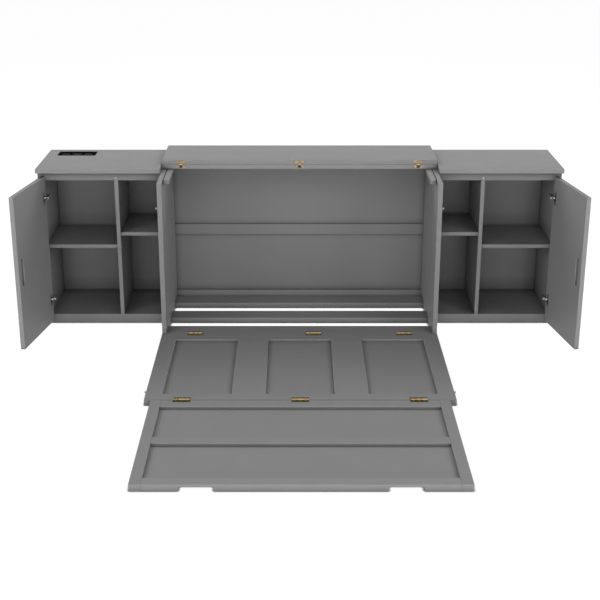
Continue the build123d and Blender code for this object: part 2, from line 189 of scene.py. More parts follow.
def rounded_arris(tree):
    # 1 where a face leans between the piece's own axes, as a rounded edge does
    parts = along(tree, unsigned(tree, own_normal(tree)))
    most = reckon(tree, "MAXIMUM", parts["X"], parts["Y"])
    most = reckon(tree, "MAXIMUM", most, parts["Z"])
    return spread(tree, most, ARRIS_FROM, ARRIS_FULL, 0.0, 1.0)


def both(tree, first, second):
    # The product of two shares
    return reckon(tree, "MULTIPLY", first, second)


def satin_paint(name, reach, corner_shade, added_light_and_shade=None, tones=(PAINT_GREY, PAINT_PALE)):
    # Sprayed satin paint: faint mottle, orange peel, painted shade darkening corners and creases, and
    # arrises paler for wear and for a painted highlight
    made, tree, shader, coords = finish_tree(name)
    mottle = speckle(tree, coords, MOTTLE_GRAIN, detail=5.0)
    body = blended(tree, spread(tree, mottle, NOISE_LOW, NOISE_HIGH, 0.0, 1.0), *tones)
    open_face = openness(tree, reach)
    # Painted shade: the colour darkens towards the corner shade where the face is closed in
    body = blended(tree, spread(tree, open_face, CREASE_DEEPEST, 1.0, 0.0, 1.0), corner_shade, body)
    # Callers may paint more light or shade over the colour
    if added_light_and_shade:
        body = added_light_and_shade(tree, coords, open_face, body)
    patchy = speckle(tree, coords, WEAR_GRAIN, detail=4.0)
    patchy = spread(tree, patchy, NOISE_LOW, WEAR_FULL, WEAR_LEAST, 1.0)
    # Rounded arrises on open faces turn paler in patches, partly wear and partly a painted highlight
    arris_patches = both(tree, rounded_arris(tree), patchy)
    wear_and_highlight = both(tree, arris_patches, spread(tree, open_face, WEAR_OPEN, 1.0, 0.0, 1.0))
    tree.links.new(blended(tree, wear_and_highlight, body, PAINT_WORN_AND_HIGHLIT), shader.inputs["Base Color"])
    haze = speckle(tree, coords, HAZE_GRAIN, detail=4.0)
    haze = spread(tree, haze, NOISE_LOW, NOISE_HIGH, *PAINT_ROUGH)
    tree.links.new(haze, shader.inputs["Roughness"])
    peel = speckle(tree, coords, PEEL_GRAIN, detail=2.0)
    relief(tree, shader, peel, PEEL_STRENGTH, PEEL_DEEP)
    shader.inputs["Specular IOR Level"].default_value = PAINT_SHINE
    return made


def ease(piece, arris):
    # The sharp edges of a piece rounded over
    eased = piece.modifiers.new("arris", "BEVEL")
    eased.width = arris
    eased.segments = 2
    eased.limit_method = "ANGLE"
    eased.angle_limit = SHARP_ABOVE
    eased.miter_outer = "MITER_ARC"
    eased.use_clamp_overlap = True


def dress(node, finish, arris):
    # A CAD piece with its finish, its facets welded and its sharp edges eased
    piece = frame["nodes"][node]
    piece.data.materials.clear()
    piece.data.materials.append(finish)
    weld = piece.modifiers.new("weld", "WELD")
    weld.merge_threshold = WELD_WITHIN
    flats = piece.modifiers.new("flats", "DECIMATE")
    flats.decimate_type = "DISSOLVE"
    flats.angle_limit = FLAT_WITHIN
    ease(piece, arris)


grey_paint = satin_paint("grey_satin_paint", CREASE_REACH, PAINT_CORNER_SHADE)
for node in ("bed_side_left", "bed_side_right"):
    dress(node, grey_paint, PANEL_ARRIS)


# ---- Back panel and its two rails
# A thin board across the back, stiffened by a rail at half height and by a
# deep rail on the floor that the mattress butts against.
BACK_ARRIS = 1.0 * MM
for node in ("bed_back_panel", "back_mid_rail", "back_low_rail"):
    dress(node, grey_paint, BACK_ARRIS)


# ---- Deck inside the cabinet, and the lid's cleats
# A threshold board and two slats on low bearers, level with the panels that
# fold out, so that the mattress lies flat. Cleats along the tops of the sides
# carry the lid.
DECK_ARRIS = 1.2 * MM
for node in ("threshold_board", "deck_slats", "slat_bearers", "lid_cleats"):
    dress(node, grey_paint, DECK_ARRIS)


# ---- Lid
# A fixed top over the rear of the cabinet and a flap of the same board that
# folds back on it. Both are painted all round.
LID_ARRIS = 1.8 * MM
# Forward faces are painted paler, as painted light
FRONT_PAINTED_LIGHT = (0.335, 0.335, 0.335, 1.0)
FRONT_FROM, FRONT_FULL = -0.8, -0.98
UNSHADED_FROM = 0.4


def painted_front_light(tree, coords, open_face, body):
    # Painted light: faces that look forward are painted paler, except in shaded corners
    facing_front = spread(tree, along(tree, own_normal(tree))["Y"], FRONT_FROM, FRONT_FULL, 0.0, 1.0)
    unshaded = spread(tree, open_face, UNSHADED_FROM, 1.0, 0.0, 1.0)
    return blended(tree, both(tree, facing_front, unshaded), body, FRONT_PAINTED_LIGHT)


# Tops, flap and foot stiles take this paint, with painted light on their forward faces
front_lit_paint = satin_paint("front_lit_paint", CREASE_REACH, PAINT_CORNER_SHADE, painted_front_light)
for node in ("fixed_top", "lid_flap"):
    dress(node, front_lit_paint, LID_ARRIS)


# ---- Lid hinges
# Three small butterfly hinges of brass sheet on the front edges of the two
# boards: winged leaves rolled into a short barrel, two screws in each leaf.
LID_BRASS = (0.50, 0.37, 0.21, 1.0)
# Pale brass for rubbed edges and for the painted highlight on the barrel
LID_BRASS_RUBBED_AND_HIGHLIT = (0.85, 0.74, 0.55, 1.0)
# Dark brass for tarnish patches and for the painted shade between the wings
LID_BRASS_TARNISH_AND_SHADE = (0.07, 0.03, 0.006, 1.0)
LID_BRASS_ROUGH = (0.16, 0.26)
LEAF_ARRIS = 0.35 * MM
TARNISH_GRAIN = 90.0
TARNISH_FROM, TARNISH_FULL, TARNISH_MOST = 0.42, 0.72, 0.75
BRUSHING = (40.0, 900.0, 900.0)
BRUSH_STRENGTH, BRUSH_DEEP = 0.15, 0.05 * MM
RUB_REACH = 0.5 * MM
RUB_FROM, RUB_FULL = 0.98, 0.75
EDGE_RAYS = 4
LEAF_WIDE = 55.0 * MM
LEAF_THICK = 2.0 * MM
LEAF_CORNER = 3.5 * MM
BARREL_WIDE = 18.0 * MM
BARREL_SIDES = 24
KNUCKLE_GAP = 0.4 * MM
NECK_SHORT = 1.0 * MM
PIN_PROUD = 1.0 * MM
PIN_PEEN = 0.4
TOUCH = 0.01 * MM
LID_HINGE_STEP = 703.0 * MM
LID_HINGE_X = (-LID_HINGE_STEP, 0.0, LID_HINGE_STEP)
WAIST_CORE, WAIST_EDGE = 7.0 * MM, 11.0 * MM
WAIST_UNDER, WAIST_OVER = 5.0 * MM, 3.0 * MM
WAIST_OVER_SHARE = 0.35
BARREL_RUB_FROM, BARREL_RUB_FULL = 1.0 * MM, 2.0 * MM
LID_SCREW_R = 2.6 * MM
LID_SCREW_X = 18.0 * MM
SCREW_SIDES = 24
# the parts of a screw head, as shares of its radius or of its own rise
SCREW_RISE, SCREW_CROWN = 0.22, 0.82
RECESS_IN, RECESS_LIP, RECESS_DEEP = 0.3, 0.06, 0.5
LOBES, LOBE_MEAN, LOBE_SWING = 4, 0.78, 0.42


def rubbed_edges(tree):
    # How near a surface is to a sharp edge of its own piece, from 0 to 1
    rounded = tree.nodes.new("ShaderNodeBevel")
    rounded.samples = EDGE_RAYS
    rounded.inputs["Radius"].default_value = RUB_REACH
    face = tree.nodes.new("ShaderNodeNewGeometry")
    dot = tree.nodes.new("ShaderNodeVectorMath")
    dot.operation = "DOT_PRODUCT"
    tree.links.new(rounded.outputs["Normal"], dot.inputs[0])
    tree.links.new(face.outputs["Normal"], dot.inputs[1])
    return spread(tree, dot.outputs["Value"], RUB_FROM, RUB_FULL, 0.0, 1.0)


def rolled_metal(name, body, pale, dull, roughness, add_painted_shade=None, add_painted_highlight=None):
    # Rolled sheet metal: fine brushing, dull tarnish patches, edges rubbed bright, and painted shade and
    # highlight where a caller adds them
    made, tree, shader, coords = finish_tree(name)
    shader.inputs["Metallic"].default_value = 1.0
    darkening = speckle(tree, coords, TARNISH_GRAIN, detail=5.0, rough=0.6)
    darkening = spread(tree, darkening, TARNISH_FROM, TARNISH_FULL, 0.0, TARNISH_MOST)
    # A caller may add painted shade to the darkened share
    if add_painted_shade:
        darkening = add_painted_shade(tree, coords, darkening)
    base = blended(tree, darkening, body, dull)
    brightening = rubbed_edges(tree)
    # A caller may add a painted highlight to the pale share
    if add_painted_highlight:
        brightening = add_painted_highlight(tree, coords, brightening)
    tree.links.new(blended(tree, brightening, base, pale), shader.inputs["Base Color"])
    streak = tree.nodes.new("ShaderNodeMapping")
    streak.inputs["Scale"].default_value = BRUSHING
    tree.links.new(coords, streak.inputs["Vector"])
    brushed = speckle(tree, streak.outputs["Vector"], 1.0, detail=3.0)
    rough = spread(tree, brushed, NOISE_LOW, NOISE_HIGH, *roughness)
    tree.links.new(rough, shader.inputs["Roughness"])
    relief(tree, shader, brushed, BRUSH_STRENGTH, BRUSH_DEEP)
    return made


def larger(tree, first, second):
    # The larger of two values
    return reckon(tree, "MAXIMUM", first, second)


pin_low, pin_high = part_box("lid_hinge_pins")
lid_axis_y, lid_axis_z = (pin_low.y + pin_high.y) / 2, (pin_low.z + pin_high.z) / 2
leaf_face_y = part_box("fixed_top")[0].y - LEAF_THICK


def shaded_waist(tree, coords, darkening):
    # Painted shade: the leaves are darkened between their wings, the fixed one most
    place = along(tree, coords)
    local = reckon(tree, "WRAP", place["X"], LID_HINGE_STEP / 2, -LID_HINGE_STEP / 2)
    waist = spread(tree, reckon(tree, "ABSOLUTE", local), WAIST_CORE, WAIST_EDGE, 1.0, 0.0)
    low, high = lid_axis_z - WAIST_UNDER, lid_axis_z - WAIST_OVER
    under = spread(tree, place["Z"], low, high, 1.0, WAIST_OVER_SHARE)
    return larger(tree, darkening, both(tree, waist, under))


def highlit_barrel(tree, coords, brightening):
    # Painted highlight: the barrel, standing out from the leaves, is painted pale
    start, full = leaf_face_y - BARREL_RUB_FROM, leaf_face_y - BARREL_RUB_FULL
    return larger(tree, brightening, spread(tree, along(tree, coords)["Y"], start, full, 0.0, 1.0))


lid_brass = rolled_metal(
    "lid_brass", LID_BRASS, LID_BRASS_RUBBED_AND_HIGHLIT, LID_BRASS_TARNISH_AND_SHADE, LID_BRASS_ROUGH, shaded_waist, highlit_barrel
)


def block(bm, middle, size):
    # The corners of a plain block, by its middle and size
    place = Matrix.Translation(middle) @ Matrix.Diagonal((*size, 1.0))
    return bmesh.ops.create_cube(bm, matrix=place)["verts"]


def rod(bm, middle, radius, long):
    # The corners of a round bar along X
    place = Matrix.Translation(middle) @ Matrix.Rotation(math.pi / 2, 4, "Y")
    return bmesh.ops.create_cone(
        bm, cap_ends=True, segments=BARREL_SIDES, radius1=radius, radius2=radius, depth=long, matrix=place
    )["verts"]


def edges_at(verts):
    # Every edge that meets these corners, once
    return list(dict.fromkeys(edge for vert in verts for edge in vert.link_edges))


def faces_at(verts):
    # Every face that meets these corners, once
    return list(dict.fromkeys(face for vert in verts for face in vert.link_faces))


def with_rims(faces):
    # Faces with their edges and corners, each once
    return list(dict.fromkeys(part for face in faces for part in (face, *face.edges, *face.verts)))


def centre(face):
    # The middle of a face
    return face.calc_center_median()


def drawn_out(bm, face, move):
    # A face pulled out of its piece, with walls behind it
    end = bmesh.ops.extrude_discrete_faces(bm, faces=[face])["faces"][0]
    bmesh.ops.translate(bm, verts=end.verts, vec=move)
    return end


def round_over(bm, edges, radius, steps):
    # Edges rounded in the mesh itself
    bmesh.ops.bevel(bm, geom=edges, affect="EDGES", offset=radius, segments=steps, profile=0.5)


def screw_head(bm, place, facing, radius):
    # A countersunk head: a low dome with a four-lobed driver recess
    rise = SCREW_RISE * radius
    head = bmesh.ops.create_cone(
        bm, cap_ends=True, segments=SCREW_SIDES, radius1=radius, radius2=SCREW_CROWN * radius, depth=rise
    )["verts"]
    bmesh.ops.translate(bm, verts=head, vec=(0, 0, rise / 2))
    faces = faces_at(head)
    crown = max(faces, key=lambda face: centre(face).z)
    bmesh.ops.inset_region(bm, faces=[crown], thickness=RECESS_IN * radius)
    for vert in crown.verts:
        lobe = LOBE_MEAN + LOBE_SWING * math.cos(LOBES * math.atan2(vert.co.y, vert.co.x))
        vert.co.x *= lobe
        vert.co.y *= lobe
    bmesh.ops.inset_region(bm, faces=[crown], thickness=RECESS_LIP * radius, depth=-RECESS_DEEP * rise)
    near = [vert for face in faces for vert in face.verts]
    whole = {vert for edge in edges_at(near) for vert in edge.verts}
    turn = Vector((0, 0, 1)).rotation_difference(Vector(facing)).to_matrix().to_4x4()
    bmesh.ops.transform(bm, matrix=Matrix.Translation(place) @ turn, verts=list(whole))


def piece_from(bm, name, finish, body):
    # A finished piece from its mesh, riding on a body
    bmesh.ops.recalc_face_normals(bm, faces=bm.faces)
    mesh = bpy.data.meshes.new(name)
    bm.to_mesh(mesh)
    bm.free()
    mesh.materials.append(finish)
    piece = bpy.data.objects.new(name, mesh)
    bpy.context.scene.collection.objects.link(piece)
    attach(piece, body)
    return piece


barrel_r = lid_axis_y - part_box("lid_hinge_fixed_leaves")[0].y


def winged_leaf(bm, x, way, knuckles, near, far):
    # A plate with rounded wings, its root rolled into its own knuckles of the barrel
    middle = Vector((x, leaf_face_y + LEAF_THICK / 2, lid_axis_z + way * (near + far) / 2))
    plate = block(bm, middle, (LEAF_WIDE, LEAF_THICK, far - near))
    corners = [edge for edge in edges_at(plate) if abs(edge.verts[0].co.y - edge.verts[1].co.y) > MM]
    root_z = lid_axis_z + way * near
    for sixths in (-3, -1, 1, 3):
        root = []
        for face in bm.faces:
            if abs(centre(face).z - root_z) < TOUCH and abs(centre(face).x - x) < LEAF_WIDE:
                root.append(face)
        plane = Vector((x + sixths * BARREL_WIDE / 6, 0, root_z))
        bmesh.ops.bisect_plane(bm, geom=with_rims(root), plane_co=plane, plane_no=(1, 0, 0))
    for thirds in knuckles:
        spot = Vector((x + thirds * BARREL_WIDE / 3, middle.y, root_z))
        neck = min(bm.faces, key=lambda face: (centre(face) - spot).length)
        drawn_out(bm, neck, (0, 0, -way * (near - NECK_SHORT)))
        rod(bm, (spot.x, lid_axis_y, lid_axis_z), barrel_r, BARREL_WIDE / 3 - KNUCKLE_GAP)
    round_over(bm, corners, LEAF_CORNER, 4)


LID_LEAVES = (
    # leaf, body, up or down, its knuckles, and how far it starts and ends from the pin
    ("fixed", "cabinet", -1, (-1, 1), 5.5 * MM, 19.0 * MM),
    ("moving", "lid_flap", 1, (0,), 9.0 * MM, 23.5 * MM),
)
for part, body, way, knuckles, near, far in LID_LEAVES:
    bm = bmesh.new()
    for x in LID_HINGE_X:
        winged_leaf(bm, x, way, knuckles, near, far)
    wings = piece_from(bm, f"lid_{part}_wings", lid_brass, body)
    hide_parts(f"lid_hinge_{part}_leaves")
    ease(wings, LEAF_ARRIS)
    bm = bmesh.new()
    for x in LID_HINGE_X:
        for side in (-1, 1):
            spot = Vector((x + side * LID_SCREW_X, leaf_face_y, lid_axis_z + way * (near + far) / 2))
            screw_head(bm, spot, (0, -1, 0), LID_SCREW_R)
    piece_from(bm, f"lid_{part}_screws", lid_brass, body)
bm = bmesh.new()
pin_r = (pin_high.z - pin_low.z) / 2
for x in LID_HINGE_X:
    # A pin through the barrel, with its ends peened round
    pin = rod(bm, (x, lid_axis_y, lid_axis_z), pin_r, BARREL_WIDE + 2 * PIN_PROUD)
    ends = [edge for edge in edges_at(pin) if abs(edge.verts[0].co.x - edge.verts[1].co.x) < TOUCH]
    round_over(bm, ends, PIN_PEEN * pin_r, 3)
lid_rods = piece_from(bm, "lid_hinge_rods", lid_brass, "cabinet")
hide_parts("lid_hinge_pins")


# ---- Bed panel
# The first fold-out panel: a flush painted frame of stiles, rails and wide
# muntins with three thin boards held in grooves below its face.
FRAME_ARRIS = 1.2 * MM
for node in ("bed_stiles", "bed_muntins", "bed_rails", "bed_infills"):
    dress(node, grey_paint, FRAME_ARRIS)


# ---- Bed and foot hinges
# Brass butt hinges laid on the faces of the panels, three in each row, with
# three countersunk screws in each leaf.
BRASS = (0.93, 0.69, 0.35, 1.0)
BRASS_PALE = (0.95, 0.80, 0.50, 1.0)
# Dark brass for tarnish patches and for the painted dark reflection on the flat leaves
BRASS_TARNISH_AND_SHADE = (0.12, 0.065, 0.012, 1.0)
BRASS_ROUGH = (0.12, 0.20)
FLOOR_LEAF_THICK = 2.0 * MM
LEAF_SHADE_TO, LEAF_UNSHADED_FROM = 0.3 * MM, 1.0 * MM
LEAF_SHADE_MOST = 0.9
BED_SCREW_R = 3.4 * MM
BED_SCREW_X = (-30.0 * MM, 0.0, 30.0 * MM)
BED_SCREW_OUT = 15.5 * MM
BED_HINGE_X = (-0.617, 0.083, 0.617)
FOOT_HINGE_X = (-0.616, 0.0, 0.616)
leaf_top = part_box("threshold_board")[1].z + FLOOR_LEAF_THICK


def shaded_leaf(tree, coords, darkening):
    # Painted dark reflection on the flat leaves; the barrels above them keep the plain brass colour
    shade_to, unshaded_from = leaf_top + LEAF_SHADE_TO, leaf_top + LEAF_UNSHADED_FROM
    flat = spread(tree, along(tree, coords)["Z"], shade_to, unshaded_from, LEAF_SHADE_MOST, 0.0)
    return larger(tree, darkening, flat)


brass = rolled_metal("floor_hinge_brass", BRASS, BRASS_PALE, BRASS_TARNISH_AND_SHADE, BRASS_ROUGH, shaded_leaf)
for row, places, near, far in (
    ("bed", BED_HINGE_X, "cabinet", "bed_panel"),
    ("foot", FOOT_HINGE_X, "bed_panel", "foot_panel"),
):
    for part in ("fixed_leaves", "moving_leaves", "pins"):
        dress(f"{row}_hinge_{part}", brass, LEAF_ARRIS)
    low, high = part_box(f"{row}_hinge_pins")
    axis_y = (low.y + high.y) / 2
    for body, way in ((near, 1), (far, -1)):
        bm = bmesh.new()
        for x in places:
            for step in BED_SCREW_X:
                spot = Vector((x + step, axis_y + way * BED_SCREW_OUT, leaf_top))
                screw_head(bm, spot, (0, 0, 1), BED_SCREW_R)
        piece_from(bm, f"{row}_hinge_screws_{body}", brass, body)


# ---- Foot panel
# The second fold-out panel: a narrower frame with two long boards, a rounded
# front rail and two finger notches on its underside.
FOOT_ARRIS = 2.2 * MM
# The front rail takes the paint in paler tones as painted light, with painted light on its forward faces
# too
FRONT_RAIL_LIT_TONES = ((0.318, 0.318, 0.318, 1.0), (0.330, 0.330, 0.330, 1.0))
front_rail_lit_paint = satin_paint(
    "front_rail_lit_paint", CREASE_REACH, PAINT_CORNER_SHADE, painted_front_light, FRONT_RAIL_LIT_TONES
)
dress("foot_infills", grey_paint, FRAME_ARRIS)
dress("foot_rails", grey_paint, FOOT_ARRIS)
dress("foot_stiles", front_lit_paint, FOOT_ARRIS)
dress("foot_front_rail", front_rail_lit_paint, FOOT_ARRIS)


# ---- Latch pins, shelf pegs and door catches
# Short turned steel pins on the bed panel's edges and on the side panels, pegs
# under the shelves and round catches behind the doors, all zinc plated.
ZINC = (0.56, 0.56, 0.57, 1.0)
ZINC_PALE = (0.72, 0.72, 0.72, 1.0)
ZINC_DULL = (0.34, 0.34, 0.35, 1.0)
ZINC_ROUGH = (0.25, 0.4)
PIN_ARRIS = 0.5 * MM
zinc = rolled_metal("zinc_plate", ZINC, ZINC_PALE, ZINC_DULL, ZINC_ROUGH)
for node in ("bed_latch_pins", "side_latch_pins", "shelf_pegs", "door_catches"):
    dress(node, zinc, PIN_ARRIS)


# ---- Screws of the backs
# Zinc-plated countersunk screws round the edge of each back board, driven from
# behind into the sides and rails.
BACK_SCREW_R = 4.0 * MM
BACK_SCREW_IN = 14.0 * MM
BACK_SCREW_STEP = 240.0 * MM
bm = bmesh.new()
for node in ("bed_back_panel", "left_back", "right_back"):
    low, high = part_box(node)
    left, right = low.x + BACK_SCREW_IN, high.x - BACK_SCREW_IN
    foot, head = low.z + BACK_SCREW_IN, high.z - BACK_SCREW_IN
    across = round((right - left) / BACK_SCREW_STEP)
    upward = round((head - foot) / BACK_SCREW_STEP)
    spots = [(left + (right - left) * k / across, z) for k in range(across + 1) for z in (foot, head)]
    spots += [(x, foot + (head - foot) * k / upward) for k in range(1, upward) for x in (left, right)]
    for x, z in spots:
        screw_head(bm, Vector((x, high.y, z)), (0, 1, 0), BACK_SCREW_R)
piece_from(bm, "back_screws", zinc, "cabinet")


# ---- Side cabinets
# A carcass of painted board on each side: outer and inner side, divider,
# bottom, back, plinth and apron, with two loose shelves on pegs.
CARCASS_ARRIS = 1.5 * MM
# Painted shade: the carcass darkens towards this grey in its corners, over a longer reach
CARCASS_CORNER_SHADE = (0.10, 0.10, 0.10, 1.0)
CARCASS_REACH = 100.0 * MM
# Painted light on the plinth and painted shade on the apron, blended by height
PLINTH_PAINTED_LIGHT = (0.50, 0.50, 0.50, 1.0)
PLINTH_LIGHT_SHARE = 0.10
APRON_SHADE = (0.04, 0.04, 0.04, 1.0)
SHADE_SHARE = 0.14
PLINTH_UPTO, APRON_FROM = 300.0 * MM, 600.0 * MM


def lit_plinth_shaded_apron(tree, coords, open_face, body):
    # Painted light makes the plinth paler, and painted shade darkens the apron under the top
    height = along(tree, coords)["Z"]
    low = spread(tree, height, PLINTH_UPTO, APRON_FROM, PLINTH_LIGHT_SHARE, 0.0)
    high = spread(tree, height, PLINTH_UPTO, APRON_FROM, 0.0, SHADE_SHARE)
    return blended(tree, high, blended(tree, low, body, PLINTH_PAINTED_LIGHT), APRON_SHADE)


carcass_paint = satin_paint("carcass_paint", CARCASS_REACH, CARCASS_CORNER_SHADE)
rail_paint = satin_paint("rail_paint", CARCASS_REACH, CARCASS_CORNER_SHADE, lit_plinth_shaded_apron)
for side in ("left", "right"):
    for part in ("outer_side", "inner_side", "divider", "bottom", "back", "wide_shelf", "narrow_shelf"):
        dress(f"{side}_{part}", carcass_paint, CARCASS_ARRIS)
    dress(f"{side}_front_rails", rail_paint, CARCASS_ARRIS)


# ---- Cabinet tops
# A thicker board on each side cabinet, overhanging the doors at the front.
# The left one is cut out for the charging unit.
# The tops take the paint with painted light on their forward faces
for side in ("left", "right"):
    dress(f"{side}_top", front_lit_paint, PANEL_ARRIS)


# ---- Doors
# Slab doors of the same painted board, with a round-ended slot to pull by and
# pockets bored for the hinge cups.
DOOR_ARRIS = 1.5 * MM
DOOR_OPEN = math.radians(100.0)
# The doors take the same paint a shade darker, as painted shade
DOOR_SHADED_TONES = ((0.278, 0.278, 0.278, 1.0), (0.291, 0.291, 0.291, 1.0))
# Painted shade in the middle of the slot's wall
SLOT_PAINTED_SHADE = (0.05, 0.05, 0.05, 1.0)
SLOT_CORE, SLOT_LIP = 4.0 * MM, 9.0 * MM
SLOT_OPEN, SLOT_SHUT = 0.93, 0.8
door_face = Vector((-math.sin(DOOR_OPEN), math.cos(DOOR_OPEN), 0.0))
door_depths = [vert.co @ door_face for vert in frame["nodes"]["right_door"].data.vertices]
door_middle = (max(door_depths) + min(door_depths)) / 2


def shaded_slot(tree, coords, open_face, body):
    # Painted shade in the middle of the slot's wall, where little light reaches, over the painted front
    # light
    depth = tree.nodes.new("ShaderNodeVectorMath")
    depth.operation = "DOT_PRODUCT"
    depth.inputs[1].default_value = door_face
    tree.links.new(unsigned(tree, coords), depth.inputs[0])
    off = reckon(tree, "SUBTRACT", depth.outputs["Value"], door_middle)
    core = spread(tree, reckon(tree, "ABSOLUTE", off), SLOT_CORE, SLOT_LIP, 1.0, 0.0)
    inner = both(tree, core, spread(tree, open_face, SLOT_OPEN, SLOT_SHUT, 0.0, 1.0))
    return blended(tree, inner, painted_front_light(tree, coords, open_face, body), SLOT_PAINTED_SHADE)


door_paint = satin_paint("door_paint", CREASE_REACH, PAINT_CORNER_SHADE, shaded_slot, DOOR_SHADED_TONES)
for side in ("left", "right"):
    dress(f"{side}_door", door_paint, DOOR_ARRIS)


# ---- Door hinges
# Concealed hinges of nickel-plated steel: a pressed cup in the door, a hooked
# link, and an arm on a plate screwed to the cabinet side.
NICKEL = (0.60, 0.59, 0.57, 1.0)
NICKEL_PALE = (0.78, 0.77, 0.75, 1.0)
NICKEL_DULL = (0.38, 0.375, 0.36, 1.0)
NICKEL_ROUGH = (0.08, 0.16)
# The cups take a darkened copy of the nickel, as a painted dark reflection
CUP_SHADED_NICKEL = (0.10, 0.10, 0.10, 1.0)
CUP_SHADED_NICKEL_PALE = (0.22, 0.22, 0.21, 1.0)
CUP_SHADED_NICKEL_DULL = (0.05, 0.05, 0.05, 1.0)
CUP_STEEL_ROUGH = (0.25, 0.4)
CUP_ARRIS = 0.3 * MM
HINGE_HEIGHTS = (161.0 * MM, 797.0 * MM)
HINGE_REACH = 20.0 * MM
CHANNEL_IN = 15.6 * MM
CAP_SIZE = (20.0 * MM, 38.0 * MM, 15.0 * MM)
CAP_DROP = 1.0 * MM
CAP_BACK = 2.0 * MM
CAP_SHOULDER = 2.8 * MM
CAP_TONGUE = 8.0 * MM
CAP_ROUND = 2.2 * MM
# width of the nose, how far it reaches forward, and how far it drops
NOSE_WIDE, NOSE_OUT, NOSE_DROP = 13.0 * MM, 18.0 * MM, 4.0 * MM
CAP_SCREW_R = 2.6 * MM
CAP_SCREW_Y = 9.0 * MM
PLATE_IN = 2.5 * MM
PLATE_SCREW_R = 3.6 * MM
PLATE_SCREW_Z = 15.0 * MM
WING_SCREW_Z = 26.0 * MM
WING_SCREW_AT = (-19.1 * MM, 6.4 * MM, 0.0)
nickel = rolled_metal("nickel_plate", NICKEL, NICKEL_PALE, NICKEL_DULL, NICKEL_ROUGH)
shaded_cup_nickel = rolled_metal("shaded_cup_nickel", CUP_SHADED_NICKEL, CUP_SHADED_NICKEL_PALE, CUP_SHADED_NICKEL_DULL, CUP_STEEL_ROUGH)
for node in ("door_hinge_arms", "left_hinge_links", "right_hinge_links"):
    dress(node, nickel, CUP_ARRIS)
# Painted dark reflection on the cups
for node in ("left_hinge_cups", "right_hinge_cups"):
    dress(node, shaded_cup_nickel, CUP_ARRIS)
arm_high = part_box("door_hinge_arms")[1]
bm = bmesh.new()
for height in HINGE_HEIGHTS:
    # A cap clipped between the cheeks of the arm, with a nose beside the link, two
    # adjusting screws, and the two screws of the plate above and below it
    half = Vector(CAP_SIZE) / 2
    rear = Vector((arm_high.x - CHANNEL_IN, arm_high.y - CAP_BACK, height - CAP_DROP))
    middle = rear - Vector((half.x, half.y, 0))
    low = middle - half
    faces = faces_at(block(bm, middle, CAP_SIZE))
    seat = max(faces, key=lambda face: centre(face).x)
    front = min(faces, key=lambda face: centre(face).y)
    bmesh.ops.inset_region(bm, faces=[seat], thickness=CAP_SHOULDER)
    drawn_out(bm, seat, (CAP_TONGUE, 0, 0))
    plane = low + Vector((NOSE_WIDE, 0, 0))
    split = bmesh.ops.bisect_plane(bm, geom=with_rims([front]), plane_co=plane, plane_no=(1, 0, 0))
    halves = [part for part in split["geom"] if isinstance(part, bmesh.types.BMFace)]
    nose = min(halves, key=lambda face: centre(face).x)
    nose = drawn_out(bm, nose, (0, -NOSE_OUT, -NOSE_DROP))
    rims = list(nose.edges)
    for edge in bm.edges:
        shown = all(vert.co.x < low.x + TOUCH for vert in edge.verts)
        if shown and all(abs(vert.co.z - height) < HINGE_REACH for vert in edge.verts):
            rims.append(edge)
    round_over(bm, list(dict.fromkeys(rims)), CAP_ROUND, 3)
    for way in (-1, 1):
        spot = middle + Vector((-half.x, way * CAP_SCREW_Y, 0))
        screw_head(bm, spot, (-1, 0, 0), CAP_SCREW_R)
        spot = Vector((arm_high.x - PLATE_IN, middle.y, height + way * PLATE_SCREW_Z))
        screw_head(bm, spot, (-1, 0, 0), PLATE_SCREW_R)
other_side = bmesh.ops.duplicate(bm, geom=bm.verts[:] + bm.edges[:] + bm.faces[:])["geom"]
other_verts = [part for part in other_side if isinstance(part, bmesh.types.BMVert)]
bmesh.ops.scale(bm, verts=other_verts, vec=(-1, 1, 1))
piece_from(bm, "door_hinge_caps", nickel, "cabinet")
pins = {joint["name"]: Vector(joint["pos_m"]) for joint in frame["joints"]}
for side, way in (("left", -1), ("right", 1)):
    bm = bmesh.new()
    offset = Matrix.Rotation(DOOR_OPEN, 3, "Z") @ Vector(WING_SCREW_AT)
    for height in HINGE_HEIGHTS:
        for step in (-WING_SCREW_Z, WING_SCREW_Z):
            spot = pins[f"{side}_door_turn"] + Vector((way * offset.x, offset.y, 0))
            spot.z = height + step
            screw_head(bm, spot, (way * door_face.x, door_face.y, 0), PLATE_SCREW_R)
    piece_from(bm, f"{side}_cup_screws", nickel, f"{side}_door")


# ---- Charging unit
# A black moulded tray let into the left top, holding two mains outlets and a
# pair of charging ports.
BLACK = (0.009, 0.009, 0.0095, 1.0)
BLACK_PALE = (0.017, 0.017, 0.0175, 1.0)
BLACK_ROUGH, BLACK_SHINE = (0.38, 0.5), 0.0
PLATE_BLACK = (0.014, 0.014, 0.0145, 1.0)
PLATE_BLACK_PALE = (0.032, 0.032, 0.033, 1.0)
PLATE_ROUGH, PLATE_SHINE = (0.3, 0.42), 0.03
MOULD_GRAIN = 1400.0
MOULD_STRENGTH, MOULD_DEEP = 0.2, 0.1 * MM
UNIT_ARRIS = 0.6 * MM
OUTLET_SIZE = (44.0 * MM, 36.0 * MM, 3.0 * MM)
PORT_PLATE_SIZE = (52.0 * MM, 36.0 * MM, 3.0 * MM)
PLATE_CORNER = 6.0 * MM
PLATE_RIM, RIM_PROUD = 0.8 * MM, 0.3 * MM
WELL_DEEP = 2.4 * MM
WELL_DRAFT = 0.15 * MM
